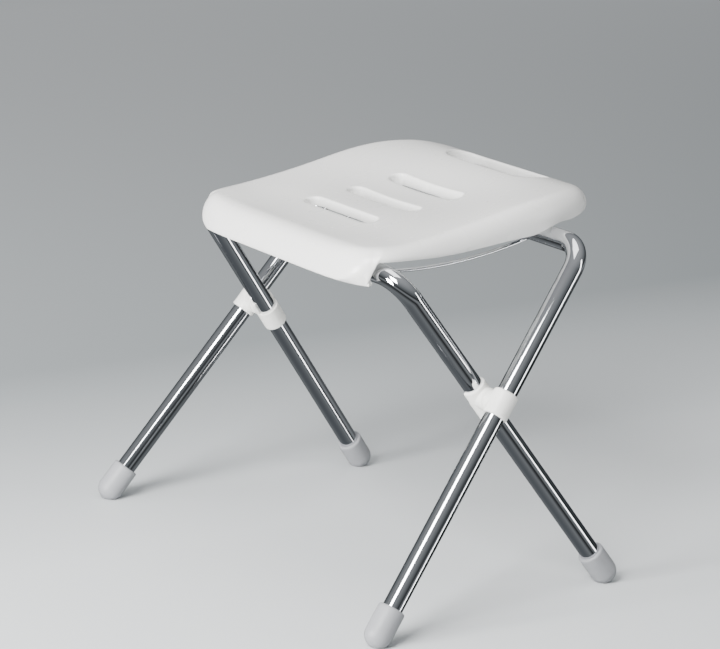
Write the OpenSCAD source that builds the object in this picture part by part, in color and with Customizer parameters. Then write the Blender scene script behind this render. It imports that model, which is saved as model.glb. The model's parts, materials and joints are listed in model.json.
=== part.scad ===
// Folding shower stool: a moulded seat on two chromed U-frames that cross as an X.
// X runs from the rolled front edge to the hand slot, Y along the crossbars, Z up.
// "Left" is -Y and "right" is +Y, as felt by someone who sits facing the rolled edge (-X).
// The inner frame holds the front of the seat, the outer frame its rear.

/* [Tubes] */
// Outside diameter of the frame tube
tube_d = 22; // [19:0.5:26]
// Wall of the frame tube
tube_wall = 1.2; // [1:0.1:2]
// Centreline radius of the two bends in each frame
bend_r = 32; // [28:1:40]

/* [Frames] */
// Height of the scissor pivot above the floor
pivot_h = 228; // [190:1:290]
// Lean of each frame from the vertical
lean = 37.7; // [33:0.1:42]
// Outward splay of the legs, in the plane of their frame
splay = 6; // [3:0.5:8]
// Distance from the pivot to the crossbar of the inner frame
arm_inner = 168; // [140:1:202]
// Distance from the pivot to the crossbar of the outer frame
arm_outer = 193; // [176:1:232]
// Half the distance between the legs of the inner frame at the pivot
half_inner = 201; // [191:1:241]

/* [Seat] */
// Half width of the seat
seat_half_w = 169; // [145:1:176]
// How far the seat reaches ahead of the front hinge axis
front_reach = 38.5; // [36:0.5:46]
// How far the seat reaches behind the rear crossbar
rear_reach = 100; // [96:1:120]
// Height of the seat skin above the front hinge axis at the front
front_rise = 25; // [24:0.5:32]
// Height of the crest above the front of the seat
wave = 40; // [36:1:44]
// Thickness of the seat moulding
skin = 4; // [3:0.5:4.5]
// Length of the drain slots
drain_len = 122; // [80:1:144]
// Width of the drain slots
drain_w = 20; // [12:1:22]
// Spacing of the drain slots
drain_pitch = 57.5; // [47.5:0.5:60]
// Length of the hand slot
hand_len = 158; // [100:1:168]
// Width of the hand slot
hand_w = 46; // [30:1:48]

/* [Pivot] */
// Diameter of the pivot rivet
rivet_d = 6; // [5:0.5:8]
// Wall of the plastic sleeves on the tubes
sleeve_wall = 2.8; // [2.4:0.1:3.4]
// Length of the inner frame's sleeves below the pivot
sleeve_shin = 27; // [16:1:40]
// Diameter of the round bosses between the tubes
boss_d = 25; // [20:0.5:27]
// Thickness of each boss between a tube and the spacer washer
boss_gap = 5.6; // [4.6:0.1:7]
// Thickness of the spacer washer
washer_t = 1.2; // [1:0.1:2]

/* [Feet] */
// Wall of the foot caps
cap_wall = 4; // [3:0.5:6]
// Length of the foot caps above the centre of their round end
cap_len = 30; // [24:1:40]
// Radius of the flat sole under each cap
sole_r = 8; // [5:0.5:9]

/* [Rails] */
// Diameter of the guide wire
wire_d = 4; // [3:0.5:5]
// Distance of each guide wire from the middle of the seat
rail_y = 110; // [96:1:121]
// Depth of the guide wire's bow
rail_bow = 8.6; // [8:0.1:11]

/* [Clearances] */
// Radial running clearance at the rivets and at the front hinge
run_gap = 0.07; // [0.02:0.01:0.1]
// Gap between faces that pass each other
pass_gap = 0.3; // [0.3:0.1:0.6]

/* [Hidden] */
$fn = 64;

LEFT = -1;
RIGHT = 1;
far = 1000;

tube_r = tube_d / 2;
bore_r = tube_r - tube_wall;
sleeve_r = tube_r + sleeve_wall;
rivet_r = rivet_d / 2;
cap_r = tube_r + cap_wall;

// The outer frame's legs pass outside the inner frame's: tube, boss, washer, boss, tube.
half_outer = half_inner + 2 * tube_r + 2 * boss_gap + washer_t + pass_gap;

// Feet: the round end of each cap is cut by the floor to a flat sole.
end_h = sqrt(cap_r * cap_r - sole_r * sole_r);
shin = (pivot_h - end_h) / (cos(lean) * cos(splay));
foot_x = shin * cos(splay) * sin(lean);
foot_washer_t = 1.5;
foot_floor = 3;

// Sleeves: how far each reaches above and below the pivot.
inner_sleeve_ends = [16, sleeve_shin];
outer_sleeve_ends = [14, 15];

// Crossbar axes, measured from the floor point under the pivot.
inner_bar = [-arm_inner * sin(lean), pivot_h + arm_inner * cos(lean)];
outer_bar = [arm_outer * sin(lean), pivot_h + arm_outer * cos(lean)];
bar_gap = norm(outer_bar - inner_bar);
seat_tilt = atan2(outer_bar[1] - inner_bar[1], outer_bar[0] - inner_bar[0]);

// Seat outline in plan and in side view.
seat_front = inner_bar[0] - front_reach;
seat_rear = outer_bar[0] + rear_reach;
seat_mid = (seat_front + seat_rear) / 2;
seat_half_l = (seat_rear - seat_front) / 2;
front_square = 9;
rear_square = 3.4;
roll_r = 27;
dip_x = seat_front + roll_r;
dip_z = inner_bar[1] + front_rise;
crest_z = dip_z + wave;
rear_roll = [66, 30];
crest_x = seat_rear - rear_roll[0];
front_lip_z = inner_bar[1] - 12;
// The side lip just clears the front crossbar, rises along the side, then arches over the rear one.
lip_low_z = inner_bar[1] + tube_r + 3.6;
lip_mid_z = outer_bar[1] + 5.3;
lip_high_z = outer_bar[1] + tube_r + 4.8;
lip_end_z = lip_high_z + 3.5;
lip_step = [inner_bar[0] - 22, inner_bar[0] - 8];
lip_climb = [inner_bar[0] + 53, outer_bar[0] - 13];
lip_arch = [outer_bar[0] - 36, outer_bar[0] + 17];
lip_end = [outer_bar[0] + 22, outer_bar[0] + 67];

// The sitting surface is dished by a sphere that runs out near the front, the crest and both sides.
dish_ends = [inner_bar[0] + 56, crest_x + 10];
dish_depth = 5.9;

// Slots: three drains, then the hand slot near the rear edge.
drain_mid = [for (i = [0 : 2]) inner_bar[0] + 56.5 + i * drain_pitch];
hand_x = seat_rear - 48;
collar_wall = 3;
drain_depth = 9;
hand_depth = 16;

// Hinge and rest blocks, in the line from one crossbar axis to the other.
block_w = 18;
block_top = 14;
block_front = -24;
block_back = 33;
cap_back = 24;
cap_drop = 15;
hinge_bore = tube_r + run_gap;
screw_r = 2;
screw_head_r = 4;
screw_head_t = 2.4;
screw_x = 18.5;
hinge_screw_tip = 20;
rest_front = bar_gap - 17;
rest_back = bar_gap + 29;
rest_top = 28;
rest_gap = tube_r + pass_gap;
rest_screw_x = bar_gap - 10;
rest_screw_seat = rest_gap + screw_head_t + 0.4;
rest_screw_tip = 32;
rail_front = 27.5;
rail_rear = bar_gap + 19;
rail_end = 10;
rail_drop = 8;
rail_corner = 6;
wire_r = wire_d / 2;
rib_y = 70;
rib_t = 2.5;
rib_bottom = 22;
rib_ends = [45, bar_gap - 24];

// The origin is on the floor, under the middle of the bounding box.
origin_x = (seat_rear - foot_x - cap_r) / 2;

// Bends are a trace fuller than the straight rod, so the two run into each other.
bend_swell = 0.05;
bend_lap = 0.5;

chrome = [0.78, 0.79, 0.8];
white_plastic = [0.93, 0.93, 0.92];
grey_rubber = [0.66, 0.66, 0.67];
steel = [0.6, 0.61, 0.62];

// ---- Placing ----

module in_part() {
    translate([-origin_x, 0, 0]) children();
}

// Children are drawn for the right side and mirrored for the left one.
module on_side(side) {
    mirror([0, side < 0 ? 1 : 0, 0]) children();
}

// Frame plane: origin at the pivot axis, +Z up to the crossbar.
module in_frame(turn) {
    in_part() translate([0, 0, pivot_h]) rotate([0, turn, 0]) children();
}

// Right leg at the pivot: +Z up along the leg.
module on_leg(half) {
    translate([0, half, 0]) rotate([splay, 0, 0]) children();
}

// Seat line: origin on the front crossbar axis, +X to the rear crossbar axis.
module on_seat_line() {
    translate([inner_bar[0], 0, inner_bar[1]]) rotate([0, -seat_tilt, 0]) children();
}

// Cylinder along Y between two places.
module rod_y(r, from, to) {
    translate([0, from, 0]) rotate([-90, 0, 0]) cylinder(r = r, h = to - from);
}

// ---- Frames ----

// One half of a U: crossbar, bend and leg, as a solid rod of radius r.
module half_u(r, bend_rod_r, half, arm, overlap) {
    corner = half - arm * tan(splay);
    tangent = bend_r * tan((90 - splay) / 2);
    leg_top = arm / cos(splay) - tangent;
    leg_end = foot_floor - shin - overlap;
    translate([0, 0, arm]) rod_y(r, -1, corner - tangent + bend_lap);
    translate([0, corner - tangent, arm - bend_r]) rotate([90, 0, 90]) rotate([0, 0, splay])
        rotate_extrude(angle = 90 - splay) translate([bend_r, 0]) circle(r = bend_rod_r);
    on_leg(half) translate([0, 0, leg_end]) cylinder(r = r, h = leg_top + bend_lap - leg_end);
}

module u_tube(half, arm) {
    difference() {
        for (side = [LEFT, RIGHT]) on_side(side) half_u(tube_r, tube_r + bend_swell, half, arm, 0);
        for (side = [LEFT, RIGHT]) on_side(side) half_u(bore_r, bore_r - bend_swell, half, arm, 1);
        children();
    }
}

module inner_frame() {
    color(chrome) in_frame(-lean) u_tube(half_inner, arm_inner)
        for (side = [LEFT, RIGHT])
            on_side(side) rod_y(rivet_r + run_gap, half_inner, half_inner + far / 10);
}

module outer_frame() {
    color(chrome) in_frame(lean) u_tube(half_outer, arm_outer)
        for (side = [LEFT, RIGHT]) on_side(side) rod_y(rivet_r, half_outer - far / 10, half_outer);
}

// ---- Pivot ----

// Tube sleeve with chamfered ends, reaching ends[0] above the pivot and ends[1] below it.
module sleeve_body(ends) {
    chamfer = 1.2;
    for (end = [0, 1]) mirror([0, 0, end]) {
        cylinder(r = sleeve_r, h = ends[end] - chamfer);
        translate([0, 0, ends[end] - chamfer]) cylinder(r1 = sleeve_r, r2 = sleeve_r - chamfer, h = chamfer);
    }
}

module sleeve_bore() {
    translate([0, 0, -far / 2]) cylinder(r = tube_r, h = far);
}

boss_end_inner = half_inner + tube_r + boss_gap;
washer_start = boss_end_inner + pass_gap;
boss_end_outer = washer_start + washer_t;

// Above the pivot the inner frame's sleeve is open towards the middle of the stool.
module inner_sleeve(side) {
    open_y = 2;
    color(white_plastic) in_frame(-lean) on_side(side) difference() {
        union() {
            on_leg(half_inner) sleeve_body(inner_sleeve_ends);
            rod_y(boss_d / 2, half_inner, boss_end_inner);
        }
        on_leg(half_inner) sleeve_bore();
        on_leg(half_inner) translate([-far / 2, -far - open_y, 0]) cube(far);
        rod_y(rivet_r + run_gap, half_inner, boss_end_inner + 1);
    }
}

module outer_sleeve(side) {
    color(white_plastic) in_frame(lean) on_side(side) difference() {
        union() {
            on_leg(half_outer) sleeve_body(outer_sleeve_ends);
            rod_y(boss_d / 2, boss_end_outer, half_outer);
        }
        on_leg(half_outer) sleeve_bore();
        rod_y(rivet_r, boss_end_outer - 1, half_outer);
    }
}

// Rivet with both ends upset inside the tubes.
module pivot_rivet(side) {
    bulb_r = 4.5;
    bulb_t = 3;
    bulb_gap = 0.8;
    grip = sqrt(bore_r * bore_r - bulb_r * bulb_r) - bulb_gap;
    color(steel) in_frame(lean) on_side(side) {
        rod_y(rivet_r, half_inner + grip - bulb_t, half_outer - grip + bulb_t);
        rod_y(bulb_r, half_inner + grip - bulb_t, half_inner + grip);
        rod_y(bulb_r, half_outer - grip, half_outer - grip + bulb_t);
    }
}

module pivot_washer(side) {
    color(white_plastic) in_frame(lean) on_side(side) difference() {
        rod_y(boss_d / 2, washer_start, boss_end_outer);
        rod_y(rivet_r, washer_start - 1, boss_end_outer + 1);
    }
}

// ---- Feet ----

module foot(side, turn, half) {
    chamfer = 1;
    color(grey_rubber) difference() {
        in_frame(turn) on_side(side) on_leg(half) translate([0, 0, -shin]) difference() {
            union() {
                sphere(r = cap_r);
                cylinder(r = cap_r, h = cap_len - chamfer);
                translate([0, 0, cap_len - chamfer])
                    cylinder(r1 = cap_r, r2 = cap_r - chamfer, h = chamfer);
            }
            translate([0, 0, foot_floor]) cylinder(r = tube_r, h = cap_len);
            translate([0, 0, foot_floor - foot_washer_t]) cylinder(r = tube_r - 0.5, h = cap_len);
        }
        translate([-far, -far, -2 * far]) cube(2 * far);
    }
}

module foot_washers(turn, half) {
    hole_r = 3;
    color(steel) in_frame(turn) for (side = [LEFT, RIGHT]) on_side(side) on_leg(half)
        translate([0, 0, foot_floor - foot_washer_t - shin]) difference() {
            cylinder(r = tube_r - 0.5, h = foot_washer_t);
            translate([0, 0, -1]) cylinder(r = hole_r, h = foot_washer_t + 2);
        }
}

// ---- Seat ----

function ramp(x, x0, x1) = x <= x0 ? 0 : x >= x1 ? 1 : (1 - cos(180 * (x - x0) / (x1 - x0))) / 2;
function top_z(x) = dip_z + wave * ramp(x, dip_x, crest_x);
function rise(x, ends, from, to) = (to - from) * ramp(x, ends[0], ends[1]);
function lip_z(x) = front_lip_z
    + rise(x, lip_step, front_lip_z, lip_low_z)
    + rise(x, lip_climb, lip_low_z, lip_mid_z)
    + rise(x, lip_arch, lip_mid_z, lip_high_z)
    + rise(x, lip_end, lip_high_z, lip_end_z);

// Side view of the seat's upper surface, moved inwards by "inset".
function top_line(inset) = concat(
    [for (a = [180 : -10 : 90])
        [dip_x + (roll_r - inset) * cos(a), dip_z - roll_r + (roll_r - inset) * sin(a)]],
    [for (i = [1 : 19]) let (x = dip_x + (crest_x - dip_x) * i / 20) [x, top_z(x) - inset]],
    [for (a = [90 : -7.5 : 0])
        [crest_x + (rear_roll[0] - inset) * cos(a),
         crest_z - rear_roll[1] + (rear_roll[1] - inset) * sin(a)]]);

// Plan outline: a superellipse, squarer at the front than at the rear.
function plan_line(inset) = [for (a = [0 : 5 : 355])
    let (p = 2 / (cos(a) < 0 ? front_square : rear_square))
    [seat_mid + (seat_half_l - inset) * sign(cos(a)) * pow(abs(cos(a)), p),
     (seat_half_w - inset) * sign(sin(a)) * pow(abs(sin(a)), p)]];

// The sphere that dishes the sitting surface, grown by "inset".
dish_chord = [for (x = dish_ends) [x, top_z(x)]];
dish_len = norm(dish_chord[1] - dish_chord[0]);
dish_dir = (dish_chord[1] - dish_chord[0]) / dish_len;
dish_r = dish_len * dish_len / (8 * dish_depth) + dish_depth / 2;
dish_mid = (dish_chord[0] + dish_chord[1]) / 2 + (dish_r - dish_depth) * [-dish_dir[1], dish_dir[0]];
function dished_z(x) = min(top_z(x), dish_mid[1] - sqrt(dish_r * dish_r - pow(x - dish_mid[0], 2)));

module dish(inset) {
    translate([dish_mid[0], 0, dish_mid[1]]) rotate([90, 0, 0]) sphere(r = dish_r + inset);
}

// Everything under the seat's upper surface and inside its plan outline.
module seat_block(inset) {
    low_z = front_lip_z - 20;
    difference() {
        intersection() {
            translate([0, far / 2, 0]) rotate([90, 0, 0]) linear_extrude(far)
                polygon(concat(top_line(inset), [[seat_rear - inset, low_z], [seat_front + inset, low_z]]));
            linear_extrude(far) polygon(plan_line(inset));
        }
        dish(inset);
    }
}

// The space below the side lip.
module below_lip() {
    steps = 48;
    start = seat_front - 10;
    end = seat_rear + 10;
    translate([0, far / 2, 0]) rotate([90, 0, 0]) linear_extrude(far) polygon(concat(
        [for (i = [0 : steps]) let (x = start + (end - start) * i / steps) [x, lip_z(x)]],
        [[end, 0], [start, 0]]));
}

// Round-ended prism, as tall as the space above the floor.
module slot(mid_x, length, width) {
    translate([mid_x, 0, 0]) linear_extrude(far) {
        for (y = [-1, 1]) translate([0, y * (length - width) / 2]) circle(r = width / 2);
        square([width, length - width], center = true);
    }
}

// Wall around a slot, hanging a depth below the sitting surface at its middle.
module collar(mid_x, length, width, depth) {
    bottom = dished_z(mid_x) - depth;
    difference() {
        slot(mid_x, length + 2 * collar_wall, width + 2 * collar_wall);
        translate([-far, -far, bottom - 2 * far]) cube(2 * far);
    }
}

// Solid pad from the skin down to the top of a block.
module pad(start, end, top) {
    on_seat_line() for (side = [LEFT, RIGHT]) on_side(side)
        translate([start, rail_y - block_w / 2, top]) cube([end - start, block_w, far / 10]);
}

module ribs() {
    on_seat_line() for (side = [LEFT, RIGHT]) on_side(side)
        translate([rib_ends[0], rib_y, rib_bottom])
            cube([rib_ends[1] - rib_ends[0], rib_t, far / 10]);
}

module screw_holes() {
    on_seat_line() for (side = [LEFT, RIGHT]) on_side(side) {
        for (x = [-screw_x, screw_x]) translate([x, rail_y, block_top - 1])
            cylinder(r = screw_r, h = hinge_screw_tip - block_top + 1);
        translate([rest_screw_x, rail_y, rest_top - 1])
            cylinder(r = screw_r, h = rest_screw_tip - rest_top + 1);
    }
}

module seat_shell() {
    color(white_plastic) in_part() difference() {
        union() {
            difference() {
                seat_block(0);
                seat_block(skin);
                below_lip();
            }
            intersection() {
                seat_block(skin / 2);
                union() {
                    pad(block_front, block_back, block_top);
                    pad(rest_front, rest_back, rest_top);
                    ribs();
                    for (x = drain_mid) collar(x, drain_len, drain_w, drain_depth);
                    collar(hand_x, hand_len, hand_w, hand_depth);
                }
            }
        }
        for (x = drain_mid) slot(x, drain_len, drain_w);
        slot(hand_x, hand_len, hand_w);
        screw_holes();
    }
}

// ---- Front hinge ----

// Bearing block under the seat, with a half-round seat for the front crossbar.
module hinge_block(side) {
    color(white_plastic) in_part() on_seat_line() on_side(side) translate([0, rail_y, 0]) difference() {
        translate([block_front, -block_w / 2, 0]) cube([block_back - block_front, block_w, block_top]);
        rod_y(hinge_bore, -block_w, block_w);
        for (x = [-screw_x, screw_x]) translate([x, 0, -1]) cylinder(r = screw_r, h = block_top + 2);
        translate([rail_front, 0, -1]) cylinder(r = wire_r, h = rail_end + 1);
    }
}

module hinge_cap(side) {
    color(white_plastic) in_part() on_seat_line() on_side(side) translate([0, rail_y, 0]) difference() {
        union() {
            intersection() {
                rod_y(cap_drop, -block_w / 2, block_w / 2);
                translate([-far / 2, -far / 2, -far]) cube(far);
            }
            translate([block_front, -block_w / 2, -cap_drop / 2])
                cube([cap_back - block_front, block_w, cap_drop / 2]);
        }
        rod_y(hinge_bore, -block_w, block_w);
        for (x = [-screw_x, screw_x]) translate([x, 0, -far / 2]) cylinder(r = screw_r, h = far);
    }
}

// Pan-head screw, head down.
module screw(reach) {
    translate([0, 0, -screw_head_t]) cylinder(r = screw_head_r, h = screw_head_t);
    cylinder(r = screw_r, h = reach);
}

module hinge_screws() {
    color(steel) in_part() on_seat_line() for (side = [LEFT, RIGHT], x = [-screw_x, screw_x])
        on_side(side) translate([x, rail_y, -cap_drop / 2]) screw(hinge_screw_tip + cap_drop / 2);
}

// ---- Rear rest and guide rails ----

// Block that the rear crossbar rests against when the stool is open.
module rest_block(side) {
    hook = 6;
    color(white_plastic) in_part() on_seat_line() on_side(side) translate([0, rail_y, 0]) difference() {
        union() {
            translate([rest_front, -block_w / 2, rest_gap])
                cube([rest_back - rest_front, block_w, rest_top - rest_gap]);
            translate([bar_gap, -block_w / 2, -hook])
                cube([rest_back - bar_gap, block_w, rest_top + hook]);
        }
        translate([bar_gap, 0, 0]) rod_y(rest_gap, -block_w, block_w);
        translate([bar_gap - rest_gap, -block_w, -far / 10]) cube([rest_gap, 2 * block_w, far / 10]);
        translate([rest_screw_x, 0, 0]) cylinder(r = screw_r, h = rest_top + 1);
        translate([rest_screw_x, 0, 0]) cylinder(r = screw_head_r + 0.2, h = rest_screw_seat);
        translate([rail_rear, 0, -hook - 1]) cylinder(r = wire_r, h = rail_end + hook + 1);
    }
}

module rest_screws() {
    color(steel) in_part() on_seat_line() for (side = [LEFT, RIGHT]) on_side(side)
        translate([rest_screw_x, rail_y, rest_screw_seat]) screw(rest_screw_tip - rest_screw_seat);
}

// Bowed guide wire: both ends turn up into the blocks.
module rail(side) {
    span = rail_rear - rail_front;
    half_span = span / 2 - rail_corner;
    dip = 2 * atan(rail_bow / half_span);
    bow_r = rail_corner + half_span / sin(dip);
    lap = 2 * asin(bend_lap / 4 / bow_r);
    color(chrome) in_part() on_seat_line() on_side(side) translate([rail_front, rail_y, -rail_drop]) {
        for (end = [0, 1]) translate([end * span, 0, 0]) mirror([end, 0, 0]) {
            translate([0, 0, -bend_lap / 4]) cylinder(r = wire_r, h = rail_drop + rail_end + bend_lap / 4);
            translate([rail_corner, 0, 0]) rotate([90, 0, 0]) rotate([0, 0, 180])
                rotate_extrude(angle = 90 - dip) translate([rail_corner, 0]) circle(r = wire_r + bend_swell);
        }
        translate([span / 2, 0, (bow_r - rail_corner) * cos(dip)]) rotate([90, 0, 0])
            rotate([0, 0, 270 - dip - lap]) rotate_extrude(angle = 2 * dip + 2 * lap)
                translate([bow_r, 0]) circle(r = wire_r);
    }
}

seat_shell();
hinge_block(LEFT);  // hinge_block_left
hinge_block(RIGHT);  // hinge_block_right
hinge_cap(LEFT);  // hinge_cap_left
hinge_cap(RIGHT);  // hinge_cap_right
hinge_screws();
rest_block(LEFT);  // rest_block_left
rest_block(RIGHT);  // rest_block_right
rest_screws();
rail(LEFT);  // rail_left
rail(RIGHT);  // rail_right
inner_frame();
inner_sleeve(LEFT);  // inner_sleeve_left
inner_sleeve(RIGHT);  // inner_sleeve_right
foot(LEFT, -lean, half_inner);  // inner_foot_left
foot(RIGHT, -lean, half_inner);  // inner_foot_right
foot_washers(-lean, half_inner);  // inner_foot_washers
outer_frame();
outer_sleeve(LEFT);  // outer_sleeve_left
outer_sleeve(RIGHT);  // outer_sleeve_right
foot(LEFT, lean, half_outer);  // outer_foot_left
foot(RIGHT, lean, half_outer);  // outer_foot_right
foot_washers(lean, half_outer);  // outer_foot_washers
pivot_rivet(LEFT);  // pivot_rivet_left
pivot_rivet(RIGHT);  // pivot_rivet_right
pivot_washer(LEFT);  // pivot_washer_left
pivot_washer(RIGHT);  // pivot_washer_right
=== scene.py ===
"""Looks of the folding shower stool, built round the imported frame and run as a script."""
import json
import math

import bpy
from mathutils import Matrix, Vector


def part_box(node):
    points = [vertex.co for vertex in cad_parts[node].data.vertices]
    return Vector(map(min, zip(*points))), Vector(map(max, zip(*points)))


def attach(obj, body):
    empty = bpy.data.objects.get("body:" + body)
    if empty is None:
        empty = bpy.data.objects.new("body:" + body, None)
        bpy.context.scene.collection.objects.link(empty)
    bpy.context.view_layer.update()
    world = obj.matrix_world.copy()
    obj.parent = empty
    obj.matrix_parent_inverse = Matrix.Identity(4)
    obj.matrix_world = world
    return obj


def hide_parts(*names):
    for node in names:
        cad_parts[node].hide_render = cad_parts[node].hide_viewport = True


bl_info = {
    "name": "Folding Shower Stool",
    "version": (1, 0, 0),
    "blender": (4, 5, 0),
    "location": "View3D > Sidebar > Stool",
    "description": "Builds the seat moulding, chromed frames, couplings and feet of a folding shower stool",
    "category": "Object",
}

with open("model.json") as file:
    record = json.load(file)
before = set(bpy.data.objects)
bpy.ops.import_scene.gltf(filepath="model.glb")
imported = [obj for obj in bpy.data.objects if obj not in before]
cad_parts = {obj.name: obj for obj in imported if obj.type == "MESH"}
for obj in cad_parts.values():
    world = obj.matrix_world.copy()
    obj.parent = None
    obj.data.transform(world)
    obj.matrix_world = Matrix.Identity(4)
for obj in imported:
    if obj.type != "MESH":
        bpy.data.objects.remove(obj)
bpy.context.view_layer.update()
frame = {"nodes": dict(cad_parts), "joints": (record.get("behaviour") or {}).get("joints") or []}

MM = 0.001
JOINTS = {j["name"]: Vector(j["pos_m"]) for j in frame["joints"]}
PIVOT = JOINTS["fold"]
FRONT_BAR = JOINTS["seat_hinge"]
SEAT_LO, SEAT_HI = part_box("seat_shell")
TUBE_R = 11 * MM
REAR_BAR = Vector((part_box("outer_frame")[1].x - TUBE_R, 0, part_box("outer_frame")[1].z - TUBE_R))
TILT = math.atan2(REAR_BAR.z - FRONT_BAR.z, REAR_BAR.x - FRONT_BAR.x)


# ---- Sizes and colours a user would change ----

class StoolFrameSizes(bpy.types.PropertyGroup):
    """Sizes of the two bent frames and their couplings"""
    lean: bpy.props.FloatProperty(
        name="Lean", description="Lean of each frame from the vertical",
        default=math.radians(37.7), subtype="ANGLE")
    splay: bpy.props.FloatProperty(
        name="Splay", description="Outward splay of the legs",
        default=math.radians(6), subtype="ANGLE")
    bend: bpy.props.FloatProperty(
        name="Bend", description="Centreline radius of the tube bends",
        default=32 * MM, unit="LENGTH")
    wall: bpy.props.FloatProperty(
        name="Wall", description="Wall of the tube", default=1.2 * MM, unit="LENGTH")
    half_inner: bpy.props.FloatProperty(
        name="Inner half width", description="Half the distance between the inner legs at the pivot",
        default=201 * MM, unit="LENGTH")
    half_outer: bpy.props.FloatProperty(
        name="Outer half width", description="Half the distance between the outer legs at the pivot",
        default=235.7 * MM, unit="LENGTH")
    boss: bpy.props.FloatProperty(
        name="Boss", description="Radius of the round bosses between the tubes",
        default=12.5 * MM, unit="LENGTH")


class StoolSeatSizes(bpy.types.PropertyGroup):
    """Sizes of the seat moulding"""
    skin: bpy.props.FloatProperty(
        name="Skin", description="Thickness of the moulding", default=3.4 * MM, unit="LENGTH")
    edge: bpy.props.FloatProperty(
        name="Edge", description="Rounding of the seat's side edges", default=15 * MM, unit="LENGTH")
    lip_round: bpy.props.FloatProperty(
        name="Slot rounding", description="Rounding of the slots' upper edges",
        default=2.2 * MM, unit="LENGTH")
    dish: bpy.props.FloatProperty(
        name="Dish", description="Depth of the dish in the sitting surface",
        default=12 * MM, unit="LENGTH")
    cell: bpy.props.FloatProperty(
        name="Cell", description="Size of the modelling grid", default=3.6 * MM, unit="LENGTH")


class StoolColours(bpy.types.PropertyGroup):
    """Colours of the finishes, as sRGB hex values"""
    seat: bpy.props.StringProperty(name="Seat", description="Seat plastic", default="#F1F0ED")
    coupling: bpy.props.StringProperty(
        name="Couplings", description="Coupling plastic", default="#F2F1EC")
    chrome: bpy.props.StringProperty(name="Chrome", description="Chromed tube", default="#DCDDE0")
    rubber: bpy.props.StringProperty(name="Rubber", description="Foot caps", default="#98999C")
    steel: bpy.props.StringProperty(name="Steel", description="Zinc-plated steel", default="#A9ABAD")


def sizes(which):
    return getattr(bpy.context.scene, which)


# ---- Materials ----

def linear(hex_value):
    """sRGB hex to linear RGBA."""
    parts = [int(hex_value.lstrip("#")[i:i + 2], 16) / 255 for i in (0, 2, 4)]
    return tuple(c / 12.92 if c <= 0.04045 else ((c + 0.055) / 1.055) ** 2.4 for c in parts) + (1.0,)


def add(tree, kind, links=(), **settings):
    """Adds a node, sets its inputs or properties, and links its inputs."""
    made = tree.nodes.new(kind)
    for key, value in settings.items():
        words = key.replace("_", " ")
        socket = next((s for s in made.inputs if s.name.lower() == words), None)
        if socket is not None and not hasattr(made, key):
            socket.default_value = value
        else:
            setattr(made, key, value)
    for name, source in links:
        tree.links.new(source, made.inputs[name])
    return made


def material(name, hex_value, metallic, rough, rough_spread, rough_mm, bump_mm, bump_depth):
    """A moulded, plated or rubber finish: its roughness drifts and its surface has a fine relief."""
    mat = bpy.data.materials.new(name)
    mat.use_nodes = True
    tree = mat.node_tree
    tree.nodes.clear()
    place = add(tree, "ShaderNodeTexCoord").outputs["Object"]
    drift = add(tree, "ShaderNodeTexNoise", [("Vector", place)], scale=1 / (rough_mm * MM), detail=4.0)
    level = add(tree, "ShaderNodeMapRange", [("Value", drift.outputs["Fac"])],
                from_min=0.3, from_max=0.7, to_min=rough - rough_spread, to_max=rough + rough_spread)
    relief = add(tree, "ShaderNodeTexNoise", [("Vector", place)], scale=1 / (bump_mm * MM), detail=2.0)
    bump = add(tree, "ShaderNodeBump", [("Height", relief.outputs["Fac"])],
               strength=0.35, distance=bump_depth * MM)
    base = linear(hex_value)
    shade = add(tree, "ShaderNodeMapRange", [("Value", drift.outputs["Fac"])],
                from_min=0.2, from_max=0.8, to_min=0.0, to_max=1.0)
    dark = tuple(c * 0.965 for c in base[:3]) + (1.0,)
    tint = add(tree, "ShaderNodeMix", [("Factor", shade.outputs["Result"])], data_type="RGBA")
    ends = {"A": base, "B": dark}
    for socket in tint.inputs:
        if socket.type == "RGBA":
            socket.default_value = ends[socket.name]
    colour = next(s for s in tint.outputs if s.type == "RGBA")
    surface = add(tree, "ShaderNodeBsdfPrincipled",
                  [("Base Color", colour), ("Roughness", level.outputs["Result"]),
                   ("Normal", bump.outputs["Normal"])], metallic=metallic)
    add(tree, "ShaderNodeOutputMaterial", [("Surface", surface.outputs["BSDF"])])
    return mat


def finishes():
    """The stool's finishes, made once."""
    c = sizes("stool_colours")
    if "seat_injection_moulded_polypropylene" in bpy.data.materials:
        return {m["finish"]: m for m in bpy.data.materials if "finish" in m}
    made = {
        # Injection-moulded polypropylene from a polished tool: a soft gloss with a faint orange peel.
        "seat": material("seat_injection_moulded_polypropylene", c.seat, 0.0, 0.27, 0.04, 60, 1.6, 0.02),
        # The same plastic from a plainer tool: satin, slightly duller.
        "coupling": material("coupling_moulded_polypropylene", c.coupling, 0.0, 0.36, 0.05, 18, 1.2, 0.02),
        "block": material("hinge_block_moulded_nylon", c.coupling, 0.0, 0.48, 0.05, 14, 1.0, 0.03),
        # Bright chromium over polished steel tube: mirror sharp, with faint drawn waviness.
        "chrome": material("tube_bright_chrome_plate", c.chrome, 1.0, 0.055, 0.02, 35, 26, 0.004),
        # Thermoplastic rubber: matt, with a fine moulded grain.
        "rubber": material("foot_moulded_thermoplastic_rubber", c.rubber, 0.0, 0.44, 0.07, 9, 0.7, 0.05),
        # Zinc-plated steel: a broken dull shine.
        "steel": material("fastener_zinc_plated_steel", c.steel, 1.0, 0.34, 0.08, 3, 0.5, 0.02),
    }
    for key, mat in made.items():
        mat["finish"] = key
    return made


# ---- Modelling helpers ----

def clear():
    if bpy.context.object and bpy.context.object.mode != "OBJECT":
        bpy.ops.object.mode_set(mode="OBJECT")
    bpy.ops.object.select_all(action="DESELECT")


def active(obj):
    clear()
    obj.select_set(True)
    bpy.context.view_layer.objects.active = obj
    return obj


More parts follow.
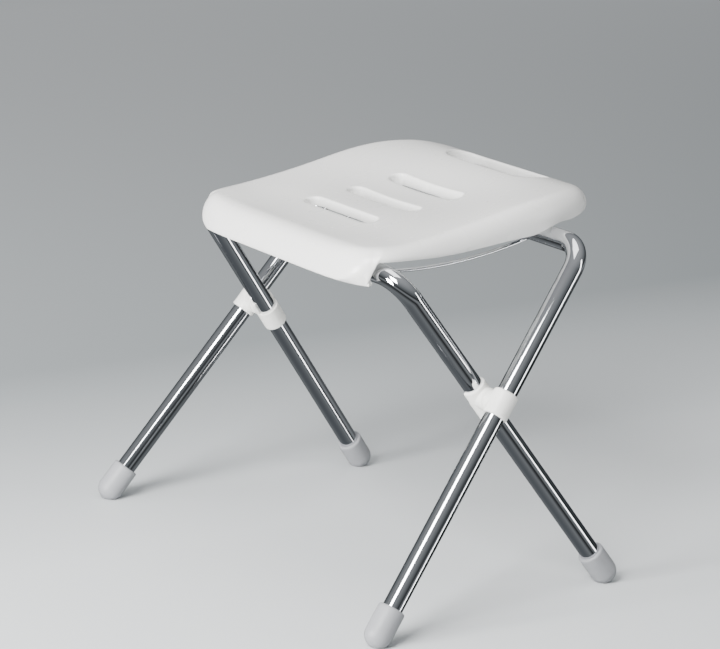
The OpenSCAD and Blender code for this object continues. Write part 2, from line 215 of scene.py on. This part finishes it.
def settle(obj, matrix=None):
    """Puts the object's place into its mesh."""
    active(obj)
    if matrix is not None:
        obj.matrix_world = matrix @ obj.matrix_world
    bpy.ops.object.transform_apply(location=True, rotation=True, scale=True)
    return obj


def modify(obj, kind, **settings):
    """Adds one modifier and applies it."""
    active(obj)
    m = obj.modifiers.new(kind.lower(), kind)
    for key, value in settings.items():
        setattr(m, key, value)
    bpy.ops.object.modifier_apply(modifier=m.name)
    return obj


def smooth(obj, degrees=35):
    active(obj)
    bpy.ops.object.shade_smooth_by_angle(angle=math.radians(degrees))
    return obj


def outward(obj):
    active(obj)
    bpy.ops.object.mode_set(mode="EDIT")
    bpy.ops.mesh.select_all(action="SELECT")
    bpy.ops.mesh.remove_doubles(threshold=0.02 * MM)
    bpy.ops.mesh.normals_make_consistent(inside=False)
    bpy.ops.object.mode_set(mode="OBJECT")
    return obj


def turned(name, rings, sides=64):
    """A turned piece on +Z: a circle drawn along its axis ring by ring, with both ends closed."""
    clear()
    r, z = rings[0]
    bpy.ops.mesh.primitive_circle_add(vertices=sides, radius=r, location=(0, 0, 0), fill_type="NGON")
    obj = bpy.context.object
    obj.name = name
    bpy.ops.object.mode_set(mode="EDIT")
    bpy.ops.mesh.select_all(action="SELECT")
    bpy.ops.transform.translate(value=(0, 0, z))
    for next_r, next_z in rings[1:]:
        bpy.ops.mesh.extrude_region_move(TRANSFORM_OT_translate={"value": (0, 0, next_z - z)})
        if abs(next_r - r) > 1e-7:
            k = next_r / r
            bpy.ops.transform.resize(value=(k, k, 1), center_override=(0, 0, next_z))
        r, z = next_r, next_z
    bpy.ops.object.mode_set(mode="OBJECT")
    return outward(obj)


def rounded(r, start, end, edge, steps=4):
    """Rings of a rod from start to end with rounded rims."""
    arc = [(edge * (1 - math.cos(a)), edge * (1 - math.sin(a)))
           for a in (math.pi / 2 * i / steps for i in range(steps + 1))]
    low = [(r - dz, start + dr) for dr, dz in arc]
    high = [(r - dz, end - dr) for dr, dz in reversed(arc)]
    return low + high


def combine(obj, other, operation):
    """Boolean of two pieces, which uses up the second."""
    modify(obj, "BOOLEAN", operation=operation, object=other, solver="EXACT")
    bpy.data.objects.remove(other)
    return obj


def slab(name, low, high, edge=0.0):
    """A box from its two corners, with its edges eased."""
    clear()
    low, high = Vector(low), Vector(high)
    bpy.ops.mesh.primitive_cube_add(size=1, location=(low + high) / 2)
    obj = bpy.context.object
    obj.name = name
    bpy.ops.object.mode_set(mode="EDIT")
    bpy.ops.mesh.select_all(action="SELECT")
    bpy.ops.transform.resize(value=tuple(high - low), center_override=tuple((low + high) / 2))
    if edge:
        bpy.ops.mesh.bevel(offset=edge, segments=3, affect="EDGES")
    bpy.ops.object.mode_set(mode="OBJECT")
    return settle(obj)


def joined(name, parts):
    clear()
    for p in parts:
        p.select_set(True)
    bpy.context.view_layer.objects.active = parts[0]
    bpy.ops.object.join()
    parts[0].name = name
    return parts[0]


def mirrored_copy(obj, name):
    """The same piece for the other side of the stool."""
    twin = obj.copy()
    twin.data = obj.data.copy()
    twin.name = name
    bpy.context.scene.collection.objects.link(twin)
    settle(twin, Matrix.Scale(-1, 4, Vector((0, 1, 0))))
    return outward(twin)


def done(obj, body, finish, slot, *nodes):
    """Gives a finished piece its finish and its body, and hides the CAD nodes it stands for."""
    obj.data.materials.clear()
    obj.data.materials.append(finishes()[finish])
    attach(obj, body)
    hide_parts(*nodes)
    return obj


def in_frame(turn):
    """Place of a frame's plane: its pivot axis and its lean."""
    return Matrix.Translation(PIVOT) @ Matrix.Rotation(turn, 4, "Y")


def on_leg(half):
    """Place of a right-hand leg in its frame's plane."""
    return Matrix.Translation((0, half, 0)) @ Matrix.Rotation(sizes("stool_frame").splay, 4, "X")


def along_y(y):
    """Turns a piece made on +Z to lie along +Y from y."""
    return Matrix.Translation((0, y, 0)) @ Matrix.Rotation(-math.pi / 2, 4, "X")


FRAMES = (("inner", -1, "half_inner", "inner"), ("outer", 1, "half_outer", "outer"))
CAP_R = 15 * MM
SOLE_R = 8 * MM
# Rubber and steel disc between the ball of a foot cap and the end of its tube.
TUBE_END = 3 * MM


def shin(f):
    rise = PIVOT.z - math.sqrt(CAP_R ** 2 - SOLE_R ** 2)
    return rise / (math.cos(f.lean) * math.cos(f.splay))


# ---- Pieces ----

class STOOL_OT_frames(bpy.types.Operator):
    """Bend the two U-frames from chromed tube"""
    bl_idname = "stool.frames"
    bl_label = "Frames"

    def execute(self, context):
        f = sizes("stool_frame")
        for name, sign, half_key, body in FRAMES:
            half = getattr(f, half_key)
            bar = FRONT_BAR if name == "inner" else REAR_BAR
            arm = math.hypot(bar.x - PIVOT.x, bar.z - PIVOT.z)
            corner = half - arm * math.tan(f.splay)
            tangent = f.bend * math.tan((math.pi / 2 - f.splay) / 2)
            leg_top = arm / math.cos(f.splay) - tangent
            leg_low = TUBE_END - shin(f)
            up = Vector((0, -math.sin(f.splay), math.cos(f.splay)))
            start = Vector((0, half, 0)) + up * leg_low
            clear()
            bpy.ops.mesh.primitive_circle_add(vertices=72, radius=TUBE_R, location=start,
                                              rotation=(f.splay, 0, 0), fill_type="NOTHING")
            tube = settle(bpy.context.object)
            tube.name = name + "_frame_tube"
            bpy.ops.object.mode_set(mode="EDIT")
            bpy.ops.mesh.select_all(action="SELECT")
            bpy.ops.mesh.extrude_region_move(TRANSFORM_OT_translate={"value": up * (leg_top - leg_low)})
            bpy.ops.mesh.spin(steps=28, angle=f.splay - math.pi / 2,
                              center=(0, corner - tangent, arm - f.bend), axis=(1, 0, 0))
            bpy.ops.mesh.extrude_region_move(
                TRANSFORM_OT_translate={"value": (0, -(corner - tangent), 0)})
            bpy.ops.object.mode_set(mode="OBJECT")
            ends = [v.co.y for v in tube.data.vertices if v.select]
            if max(abs(y) for y in ends) > 0.1 * MM:
                raise RuntimeError("the crossbar does not end in the middle of the stool")
            modify(tube, "MIRROR", use_axis=(False, True, False), use_clip=True, merge_threshold=0.05 * MM)
            outward(tube)
            modify(tube, "SOLIDIFY", thickness=f.wall, offset=-1)
            settle(tube, in_frame(sign * f.lean))
            smooth(tube)
            done(tube, body, "chrome", "tube_chrome", name + "_frame")
        return {"FINISHED"}


class STOOL_OT_feet(bpy.types.Operator):
    """Mould the four rubber foot caps"""
    bl_idname = "stool.feet"
    bl_label = "Feet"

    def execute(self, context):
        f = sizes("stool_frame")
        top = 30 * MM
        for name, sign, half_key, body in FRAMES:
            half = getattr(f, half_key)
            rings = [(10.6 * MM, 20 * MM), (10.6 * MM, top - 1.2 * MM), (11.2 * MM, top - 0.3 * MM)]
            rings += [(12.2 * MM, top), (13.6 * MM, top - 0.1 * MM)]
            rings += [(14.5 * MM, top - 0.7 * MM), (14.9 * MM, top - 1.8 * MM), (CAP_R - 0.05 * MM, top - 4 * MM)]
            rings += [(CAP_R, i * 5 * MM) for i in (4, 3, 2, 1, 0)]
            rings += [(CAP_R * math.cos(a), -CAP_R * math.sin(a))
                      for a in (math.pi / 2 * i / 14 for i in range(1, 14))]
            cap = turned(name + "_foot_cap_right", rings)
            settle(cap, in_frame(sign * f.lean) @ on_leg(half) @ Matrix.Translation((0, 0, -shin(f))))
            bpy.ops.object.mode_set(mode="EDIT")
            bpy.ops.mesh.select_all(action="SELECT")
            bpy.ops.mesh.bisect(plane_co=(0, 0, 0), plane_no=(0, 0, 1), use_fill=True, clear_inner=True)
            bpy.ops.object.mode_set(mode="OBJECT")
            smooth(cap, 40)
            twin = smooth(mirrored_copy(cap, name + "_foot_cap_left"), 40)
            done(cap, body, "rubber", "foot_rubber", name + "_foot_right")
            done(twin, body, "rubber", "foot_rubber", name + "_foot_left")
        return {"FINISHED"}


class STOOL_OT_couplings(bpy.types.Operator):
    """Mould the sleeves and bosses that join the frames at the pivot"""
    bl_idname = "stool.couplings"
    bl_label = "Couplings"

    def execute(self, context):
        f = sizes("stool_frame")
        sleeve_r = TUBE_R + 2.8 * MM
        boss_end = f.half_inner + TUBE_R + 5.6 * MM
        washer = (boss_end + 0.3 * MM, boss_end + 1.5 * MM)
        ends = {"inner": (16 * MM, 27 * MM), "outer": (14 * MM, 15 * MM)}
        for name, sign, half_key, body in FRAMES:
            half = getattr(f, half_key)
            above, below = ends[name]
            sleeve = turned(name + "_coupling_right", rounded(sleeve_r, -below, above, 2 * MM))
            sleeve.matrix_world = on_leg(half)
            settle(sleeve)
            span = (half, boss_end) if name == "inner" else (washer[1], half)
            boss = settle(turned("boss", rounded(f.boss, 0, span[1] - span[0], 0.8 * MM)), along_y(span[0]))
            combine(sleeve, boss, "UNION")
            bore = settle(turned("bore", [(10.7 * MM, -60 * MM), (10.7 * MM, 60 * MM)]), on_leg(half))
            combine(sleeve, bore, "DIFFERENCE")
            if name == "inner":
                opening = slab("opening", (-20 * MM, -30 * MM, 0), (20 * MM, -2 * MM, 30 * MM))
                combine(sleeve, settle(opening, on_leg(half)), "DIFFERENCE")
            modify(sleeve, "REMESH", mode="VOXEL", voxel_size=0.55 * MM)
            modify(sleeve, "SMOOTH", factor=0.5, iterations=5)
            settle(sleeve, in_frame(sign * f.lean))
            active(sleeve)
            bpy.ops.object.shade_smooth()
            twin = mirrored_copy(sleeve, name + "_coupling_left")
            bpy.ops.object.shade_smooth()
            done(sleeve, body, "coupling", "sleeve_plastic", name + "_sleeve_right")
            done(twin, body, "coupling", "sleeve_plastic", name + "_sleeve_left")
        ring = turned("pivot_spacer_right", rounded(f.boss, 0, washer[1] - washer[0], 0.25 * MM))
        hole = settle(turned("hole", [(3 * MM, -5 * MM), (3 * MM, 5 * MM)]))
        combine(ring, hole, "DIFFERENCE")
        settle(ring, in_frame(f.lean) @ along_y(washer[0]))
        twin = smooth(mirrored_copy(ring, "pivot_spacer_left"))
        done(smooth(ring), "outer", "coupling", "sleeve_plastic", "pivot_washer_right")
        done(twin, "outer", "coupling", "sleeve_plastic", "pivot_washer_left")
        return {"FINISHED"}


# ---- Seat moulding ----

def ramp(x, a, b):
    return 0.0 if x <= a else 1.0 if x >= b else (1 - math.cos(math.pi * (x - a) / (b - a))) / 2


def soft(x):
    x = min(max(x, 0.0), 1.0)
    return x * x * (3 - 2 * x)


class SeatForm:
    """The seat's surface: a wave with a dish in it, rolled down at the front, rear and sides."""

    def __init__(self):
        self.s = sizes("stool_seat")
        self.mid = (SEAT_LO.x + SEAT_HI.x) / 2
        self.half_l = (SEAT_HI.x - SEAT_LO.x) / 2
        self.half_w = SEAT_HI.y
        self.roll = 27 * MM
        self.rear_roll = (66 * MM, 30 * MM)
        self.dip = (SEAT_LO.x + self.roll, SEAT_HI.z - 40 * MM)
        self.crest = (SEAT_HI.x - self.rear_roll[0], SEAT_HI.z)
        drain = [FRONT_BAR.x + (56.5 + 57.5 * i) * MM for i in range(3)]
        r = self.s.lip_round
        # Slot: middle, radius and half length of the opening at the surface, depth of its wall.
        self.slots = [(x, 10 * MM + r, 61 * MM + r, 9 * MM) for x in drain]
        self.slots.append((SEAT_HI.x - 48 * MM, 23 * MM + r, 79 * MM + r, 16 * MM))

    def top(self, x, y):
        """Height of the surface, without the rounding of its sides."""
        z = self.dip[1] + (self.crest[1] - self.dip[1]) * ramp(x, self.dip[0], self.crest[0])
        if x < self.dip[0]:
            q = min((self.dip[0] - x) / self.roll, 1)
            z -= self.roll * (1 - math.sqrt(1 - q * q))
        if x > self.crest[0]:
            q = min((x - self.crest[0]) / self.rear_roll[0], 1)
            z -= self.rear_roll[1] * (1 - math.sqrt(1 - q * q))
        u = (x - self.mid - 22 * MM) / (112 * MM)
        v = y / (158 * MM)
        if abs(u) < 1 and abs(v) < 1:
            z -= self.s.dish * math.cos(math.pi / 2 * u) ** 2 * (1 - v * v) ** 1.5
        shoulder = ramp(abs(y), 60 * MM, 150 * MM)
        z += 2.5 * MM * shoulder * (ramp(x, SEAT_LO.x, SEAT_LO.x + 50 * MM)
                                    - ramp(x, SEAT_LO.x + 80 * MM, SEAT_LO.x + 190 * MM))
        return z

    def lip(self, x):
        """Height of the lower edge."""
        fx, rx = FRONT_BAR.x, REAR_BAR.x
        low = FRONT_BAR.z + TUBE_R + 3.6 * MM
        mid = REAR_BAR.z + 5.3 * MM
        high = REAR_BAR.z + TUBE_R + 4.8 * MM
        z = FRONT_BAR.z - 12 * MM
        z += (low - z) * ramp(x, fx - 22 * MM, fx - 8 * MM)
        z += (mid - low) * ramp(x, fx + 53 * MM, rx - 13 * MM)
        z += (high - mid) * ramp(x, rx - 36 * MM, rx + 17 * MM)
        return z + 3.5 * MM * ramp(x, rx + 22 * MM, rx + 67 * MM)

    def outline(self, s, t, inset):
        """A point of the plan: s and t run from -1 to 1 over the seat, and rho is 1 on its rim."""
        rho = max(abs(s), abs(t))
        if rho < 1e-9:
            return self.mid, 0.0
        m = min(abs(s), abs(t)) / rho
        p = 7.0 if s < 0 else 3.4
        k = (1 + m ** p) ** (-1 / p)
        w = soft((rho - 0.45) / 0.55)
        scale = 1 - w * (1 - k)
        return self.mid + s * (self.half_l - inset) * scale, t * (self.half_w - inset) * scale

    def plan(self, s, t):
        """A point of the sitting surface, drawn to the slots' outlines near them."""
        e = self.s.edge
        flat = (self.mid + s * (self.half_l - e), t * (self.half_w - e))
        x, y = self.outline(s, t, e)
        for x0, r, half, _ in self.slots:
            u = (flat[0] - x0) / r
            v = max(abs(flat[1]) - (half - r), 0) / r
            d = max(abs(u), v)
            w = 1 - soft((d - 1) / (14.5 * MM / r))
            if d < 1e-9 or w <= 0:
                continue
            a, b = u / d, v / d
            on = (x0 + d * r * a * math.sqrt(1 - b * b / 2),
                  math.copysign(min(abs(flat[1]), half - r) + d * r * b * math.sqrt(1 - a * a / 2), flat[1]))
            x, y = x + (on[0] - x) * w, y + (on[1] - y) * w
        return x, y

    def rim(self, s, t, sine):
        """A point of the rolled side, from the sitting surface (0) to the widest line (1)."""
        e = self.s.edge
        xi, yi = self.outline(s, t, e)
        xo, yo = self.outline(s, t, 0)
        x, y = xi + (xo - xi) * sine, yi + (yo - yi) * sine
        fall = min(max(self.top(xo, yo) - self.lip(xo) - 3.5 * MM, 0), 19 * MM)
        z = self.top(x, y) - fall * (1 - math.sqrt(max(1 - sine * sine, 0)))
        return Vector((x, y, z))


def stations(marks, cell):
    """Grid lines that pass through all the marks."""
    out = [marks[0]]
    for a, b in zip(marks, marks[1:]):
        n = max(1, round((b - a) / cell))
        out += [a + (b - a) * (i + 1) / n for i in range(n)]
    return out


def draw_out(obj, rows, keys):
    """Extrudes the selected open edges row by row. keys says which point of the rim a vertex is."""
    active(obj)
    for row in rows:
        bpy.ops.object.mode_set(mode="EDIT")
        bpy.ops.mesh.extrude_edges_move(TRANSFORM_OT_translate={"value": (0, 0, 0)})
        bpy.ops.object.mode_set(mode="OBJECT")
        moved = {}
        for v in obj.data.vertices:
            if v.select:
                key = keys[tuple(v.co)]
                v.co = row(key)
                moved[tuple(v.co)] = key
        keys = moved


def pick_open_edges(obj, keys):
    """Selects the edges whose two ends are both in keys and that border one face."""
    count = {}
    for face in obj.data.polygons:
        for pair in face.edge_keys:
            count[pair] = count.get(pair, 0) + 1
    for item in (obj.data.polygons, obj.data.edges, obj.data.vertices):
        for one in item:
            one.select = False
    vertices = obj.data.vertices
    for edge in obj.data.edges:
        pair = tuple(sorted(edge.vertices))
        if count.get(pair) == 1 and all(tuple(vertices[i].co) in keys for i in pair):
            edge.select = True
            for i in pair:
                vertices[i].select = True


class STOOL_OT_seat(bpy.types.Operator):
    """Mould the seat: sitting surface, rolled edges, slots, pads and ribs"""
    bl_idname = "stool.seat"
    bl_label = "Seat"

    def execute(self, context):
        form = SeatForm()
        s = form.s
        a, b = form.half_l - s.edge, form.half_w - s.edge
        xs = [form.mid - a, form.mid + a]
        ys = [-b, b]
        for x0, r, half, _ in form.slots:
            xs += [x0 - r, x0 + r]
            ys += [-half, half, -(half - r), half - r]
        xs = stations(sorted(xs), s.cell)
        ys = stations(sorted({round(y, 7) for y in ys}), s.cell)
        clear()
        bpy.ops.mesh.primitive_grid_add(x_subdivisions=len(xs) - 1, y_subdivisions=len(ys) - 1, size=2)
        seat = bpy.context.object
        seat.name = "seat_moulding"
        # Grid lines go to their stations, and the faces over each slot are taken out.
        for v in seat.data.vertices:
            i = round((v.co.x + 1) / 2 * (len(xs) - 1))
            j = round((v.co.y + 1) / 2 * (len(ys) - 1))
            v.co = (xs[i], ys[j], 0)
        bpy.ops.object.mode_set(mode="EDIT")
        bpy.ops.mesh.select_mode(type="FACE")
        bpy.ops.mesh.select_all(action="DESELECT")
        bpy.ops.object.mode_set(mode="OBJECT")
        for face in seat.data.polygons:
            face.select = any(abs(face.center.x - x0) < r and abs(face.center.y) < half
                              for x0, r, half, _ in form.slots)
        bpy.ops.object.mode_set(mode="EDIT")
        bpy.ops.mesh.delete(type="FACE")
        bpy.ops.mesh.select_mode(type="EDGE")
        bpy.ops.object.mode_set(mode="OBJECT")
        rim_keys = {}
        slot_keys = [{} for _ in form.slots]
        for v in seat.data.vertices:
            x, y = v.co.x, v.co.y
            st = ((x - form.mid) / a, y / b)
            px, py = form.plan(*st)
            v.co = (px, py, form.top(px, py))
            if max(abs(st[0]), abs(st[1])) > 1 - 1e-5:
                k = max(abs(st[0]), abs(st[1]))
                st = (st[0] / k, st[1] / k)
                v.co = form.rim(*st, 0)
                rim_keys[tuple(v.co)] = st
            for keys, (x0, r, half, _) in zip(slot_keys, form.slots):
                edge = max(abs(x - x0) - r, abs(y) - half)
                if abs(edge) < 1e-6:
                    keys[tuple(v.co)] = tuple(v.co)
        # Slot walls: a rounded edge, then straight down.
        for keys, (x0, r, half, depth) in zip(slot_keys, form.slots):
            centre_y = half - r
            bottom = form.top(x0, 0) - depth

            def row(amount, drop, wall):
                def place(key):
                    x, y, z = key
                    q = Vector((x0, max(-centre_y, min(centre_y, y))))
                    d = (Vector((x, y)) - q).normalized() * (r - amount)
                    top = z - s.lip_round
                    return Vector((q.x + d.x, q.y + d.y, (top + (bottom - top) * wall) if wall else z - drop))
                return place

            rows = []
            for i in range(1, 7):
                angle = math.pi / 2 * i / 6
                rows.append(row(s.lip_round * math.sin(angle), s.lip_round * (1 - math.cos(angle)), 0))
            rows += [row(s.lip_round, 0, w) for w in (0.25, 0.5, 0.75, 1.0)]
            pick_open_edges(seat, keys)
            draw_out(seat, rows, dict(keys))

        # The outer rim rolls down, then falls to the lip with a little draw-in.
        def rolled(sine):
            def place(key):
                p = form.rim(*key, sine)
                p.z = max(p.z, form.lip(p.x) + 1.5 * MM)
                return p
            return place

        def skirt(amount):
            def place(key):
                p = form.rim(*key, 1)
                low = form.lip(p.x)
                top = max(p.z, low + 1.5 * MM)
                z = top + (low - top) * amount
                inward = (8 * MM if p.x < FRONT_BAR.x - 20 * MM else 1.2 * MM) * amount ** 1.6
                if abs(key[0]) >= abs(key[1]):
                    p.x -= math.copysign(inward, p.x - form.mid)
                else:
                    p.y -= math.copysign(min(inward, 3 * MM), p.y)
                p.z = z
                return p
            return place

        rows = [rolled(math.sin(math.pi / 2 * i / 10)) for i in range(1, 11)]
        rows += [skirt(i / 7) for i in range(1, 8)]
        pick_open_edges(seat, rim_keys)
        draw_out(seat, rows, dict(rim_keys))
        active(seat)
        bpy.ops.object.mode_set(mode="EDIT")
        bpy.ops.mesh.select_all(action="SELECT")
        bpy.ops.mesh.normals_make_consistent(inside=False)
        bpy.ops.object.mode_set(mode="OBJECT")
        middle = min(seat.data.polygons, key=lambda p: (p.center - Vector((form.mid, 0, p.center.z))).length)
        if middle.normal.z < 0:
            bpy.ops.object.mode_set(mode="EDIT")
            bpy.ops.mesh.flip_normals()
            bpy.ops.object.mode_set(mode="OBJECT")
        modify(seat, "SOLIDIFY", thickness=s.skin, offset=-1, use_even_offset=False)
        modify(seat, "BEVEL", width=0.9 * MM, segments=3, limit_method="ANGLE",
               angle_limit=math.radians(55), harden_normals=False)
        smooth(seat, 50)
        seat = joined("seat_moulding", [seat] + self.under(form))
        done(seat, "seat", "seat", "seat_plastic", "seat_shell")
        return {"FINISHED"}

    def under(self, form):
        """Pads over the blocks and two stiffening ribs, each grown into the skin."""
        gap = (REAR_BAR - FRONT_BAR).length
        line = Matrix.Translation(FRONT_BAR) @ Matrix.Rotation(-TILT, 4, "Y")
        wide = ((-24, 33, 101, 119, 14), (gap / MM - 17, gap / MM + 29, 101, 119, 28),
                (45, gap / MM - 24, 70, 72.5, 22))
        parts = []
        for x0, x1, y0, y1, z0 in wide:
            for side in (-1, 1):
                lo, hi = sorted((y0 * side, y1 * side))
                clear()
                bpy.ops.mesh.primitive_cube_add(size=1)
                part = bpy.context.object
                bpy.ops.object.mode_set(mode="EDIT")
                bpy.ops.mesh.select_all(action="SELECT")
                bpy.ops.transform.resize(value=((x1 - x0) * MM, (hi - lo) * MM, 4 * MM))
                bpy.ops.transform.translate(value=((x0 + x1) / 2 * MM, (lo + hi) / 2 * MM, (z0 + 2) * MM))
                bpy.ops.mesh.subdivide(number_cuts=7)
                bpy.ops.object.mode_set(mode="OBJECT")
                settle(part, line)
                for v in part.data.vertices:
                    local = line.inverted() @ v.co
                    share = (local.z - z0 * MM) / (4 * MM)
                    base = line @ Vector((local.x, local.y, z0 * MM))
                    v.co = base.lerp(Vector((base.x, base.y, form.top(base.x, base.y) - 1.7 * MM)), share)
                parts.append(smooth(outward(part)))
        return parts


class STOOL_OT_fittings(bpy.types.Operator):
    """Finish the small fittings: hinge blocks, rests, wires, screws, rivets and washers"""
    bl_idname = "stool.fittings"
    bl_label = "Fittings"

    def execute(self, context):
        made = {
            "hinge_block_left": ("seat", "block", "block_plastic", 0.8),
            "hinge_block_right": ("seat", "block", "block_plastic", 0.8),
            "hinge_cap_left": ("seat", "block", "block_plastic", 0.8),
            "hinge_cap_right": ("seat", "block", "block_plastic", 0.8),
            "rest_block_left": ("seat", "block", "block_plastic", 0.8),
            "rest_block_right": ("seat", "block", "block_plastic", 0.8),
            "rail_left": ("seat", "chrome", "rail_chrome", 0),
            "rail_right": ("seat", "chrome", "rail_chrome", 0),
            "hinge_screws": ("seat", "steel", "screw_steel", 0.3),
            "rest_screws": ("seat", "steel", "screw_steel", 0.3),
            "inner_foot_washers": ("inner", "steel", "washer_steel", 0.2),
            "outer_foot_washers": ("outer", "steel", "washer_steel", 0.2),
            "pivot_rivet_left": ("outer", "steel", "rivet_steel", 0.3),
            "pivot_rivet_right": ("outer", "steel", "rivet_steel", 0.3),
        }
        for node, (body, finish, slot, edge) in made.items():
            clear()
            source = frame["nodes"][node]
            piece = source.copy()
            piece.data = source.data.copy()
            for key in list(piece.keys()):
                if key.startswith("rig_"):
                    del piece[key]
            piece.parent = None
            piece.name = node + "_finished"
            bpy.context.scene.collection.objects.link(piece)
            outward(piece)
            if edge:
                modify(piece, "BEVEL", width=edge * MM, segments=2, limit_method="ANGLE",
                       angle_limit=math.radians(50))
            smooth(piece, 40)
            done(piece, body, finish, slot, node)
        return {"FINISHED"}


class STOOL_OT_stage(bpy.types.Operator):
    """Set up the floor, the studio world, the lights and the camera"""
    bl_idname = "stool.stage"
    bl_label = "Stage"

    def execute(self, context):
        self.surfaces()
        self.lights()
        self.camera()
        return {"FINISHED"}

    def plain(self, name, hex_value, rough):
        mat = bpy.data.materials.new(name)
        mat.use_nodes = True
        shader = mat.node_tree.nodes["Principled BSDF"]
        shader.inputs["Base Color"].default_value = linear(hex_value)
        shader.inputs["Roughness"].default_value = rough
        return mat

    def sheet(self, name, size, place, turn, mat):
        clear()
        bpy.ops.mesh.primitive_plane_add(size=1, location=place, rotation=turn)
        plane = bpy.context.object
        plane.name = name
        plane.scale = (size[0], size[1], 1)
        bpy.ops.object.transform_apply(location=True, rotation=True, scale=True)
        plane.data.materials.append(mat)
        return plane

    def surfaces(self):
        """A pale floor that darkens behind the stool, so that its white edges stand out."""
        mat = self.plain("floor_pale", "#DFE2E3", 0.6)
        tree = mat.node_tree
        place = add(tree, "ShaderNodeTexCoord").outputs["Object"]
        depth = add(tree, "ShaderNodeSeparateXYZ", [("Vector", place)]).outputs["Y"]
        reach = add(tree, "ShaderNodeMapRange", [("Value", depth)],
                    from_min=0.1, from_max=3.4)
        grade = add(tree, "ShaderNodeValToRGB", [("Fac", reach.outputs["Result"])])
        grade.color_ramp.elements[0].color = linear("#DFE2E3")
        grade.color_ramp.elements[1].color = linear("#F2F4F5")
        grade.color_ramp.elements.new(0.2).color = linear("#A3A8AA")
        tree.links.new(grade.outputs["Color"], tree.nodes["Principled BSDF"].inputs["Base Color"])
        floor = self.sheet("floor", (14, 14), (0, 0, 0), (0, 0, 0), mat)
        floor.visible_glossy = False

    def lights(self):
        world = bpy.data.worlds.new("studio")
        world.use_nodes = True
        tree = world.node_tree
        place = add(tree, "ShaderNodeTexCoord").outputs["Generated"]
        height = add(tree, "ShaderNodeSeparateXYZ", [("Vector", place)]).outputs["Z"]
        band = add(tree, "ShaderNodeMapRange", [("Value", height)], from_min=-1.0, from_max=1.0)
        sky = add(tree, "ShaderNodeValToRGB", [("Fac", band.outputs["Result"])])
        sky.color_ramp.elements[0].color = linear("#70757A")
        sky.color_ramp.elements[1].color = linear("#E8EBEE")
        for spot, shade in ((0.16, "#9EA3A6"), (0.30, "#2A2C2E"), (0.42, "#B5BABD"), (0.50, "#34373A"), (0.66, "#8F9497")):
            sky.color_ramp.elements.new(spot).color = linear(shade)
        ground = tree.nodes["Background"]
        tree.links.new(sky.outputs["Color"], ground.inputs["Color"])
        ground.inputs["Strength"].default_value = 0.6
        bpy.context.scene.world = world
        for name, place, aim, size, power in (
            ("key_left", (-1.9, -0.9, 2.0), (0, 0, 0.3), (1.0, 1.2), 108),
            ("low_left", (-2.3, -0.2, 0.6), (0, 0, 0.35), (0.7, 0.9), 105),
            ("top", (0.0, 0.1, 2.4), (0, 0, 0.3), (1.4, 1.4), 18),
            ("strip_right", (1.5, -1.5, 0.1), (0, 0, 0.2), (0.3, 2.6), 18),
        ):
            clear()
            bpy.ops.object.light_add(type="AREA", location=place)
            lamp = bpy.context.object
            lamp.name = name
            lamp.data.shape = "RECTANGLE"
            lamp.data.size, lamp.data.size_y = size
            lamp.data.energy = power
            lamp.rotation_euler = (Vector(aim) - Vector(place)).to_track_quat("-Z", "Y").to_euler()

    def camera(self):
        az, el, roll = (math.radians(v) for v in (-36.76, 15.2, 2.91))
        back = Vector((math.sin(az) * math.cos(el), -math.cos(az) * math.cos(el), math.sin(el)))
        right = Vector((math.cos(az), math.sin(az), 0))
        up = back.cross(right)
        r2 = right * math.cos(roll) + up * math.sin(roll)
        u2 = up * math.cos(roll) - right * math.sin(roll)
        clear()
        bpy.ops.object.camera_add()
        cam = bpy.context.object
        turn = Matrix((r2, u2, back)).transposed().to_4x4()
        cam.matrix_world = Matrix.Translation(Vector((-1.8083, -2.4036, 1.0729)) + Vector((PIVOT.x, 0, 0))) @ turn
        cam.data.sensor_width = 36
        cam.data.lens = 140.565
        bpy.context.scene.camera = cam


class STOOL_PT_panel(bpy.types.Panel):
    """Lists the stool's sizes, colours and building steps"""
    bl_idname = "STOOL_PT_panel"
    bl_label = "Shower Stool"
    bl_space_type = "VIEW_3D"
    bl_region_type = "UI"
    bl_category = "Stool"

    def draw(self, context):
        for group in ("stool_frame", "stool_seat", "stool_colours"):
            box = self.layout.box()
            for key in getattr(context.scene, group).__annotations__:
                box.prop(getattr(context.scene, group), key)
        for step in STEPS:
            self.layout.operator(step.bl_idname)


GROUPS = {"stool_frame": StoolFrameSizes, "stool_seat": StoolSeatSizes, "stool_colours": StoolColours}
STEPS = (STOOL_OT_frames, STOOL_OT_feet, STOOL_OT_couplings, STOOL_OT_seat, STOOL_OT_fittings,
         STOOL_OT_stage)


def register():
    for cls in (*GROUPS.values(), *STEPS, STOOL_PT_panel):
        bpy.utils.register_class(cls)
    for name, cls in GROUPS.items():
        setattr(bpy.types.Scene, name, bpy.props.PointerProperty(type=cls))


def unregister():
    for name in GROUPS:
        delattr(bpy.types.Scene, name)
    for cls in (STOOL_PT_panel, *reversed(STEPS), *GROUPS.values()):
        bpy.utils.unregister_class(cls)


def main():
    register()
    bpy.ops.stool.frames()
    bpy.ops.stool.feet()
    bpy.ops.stool.couplings()
    bpy.ops.stool.seat()
    bpy.ops.stool.fittings()
    bpy.ops.stool.stage()


if __name__ == "__main__":
    main()
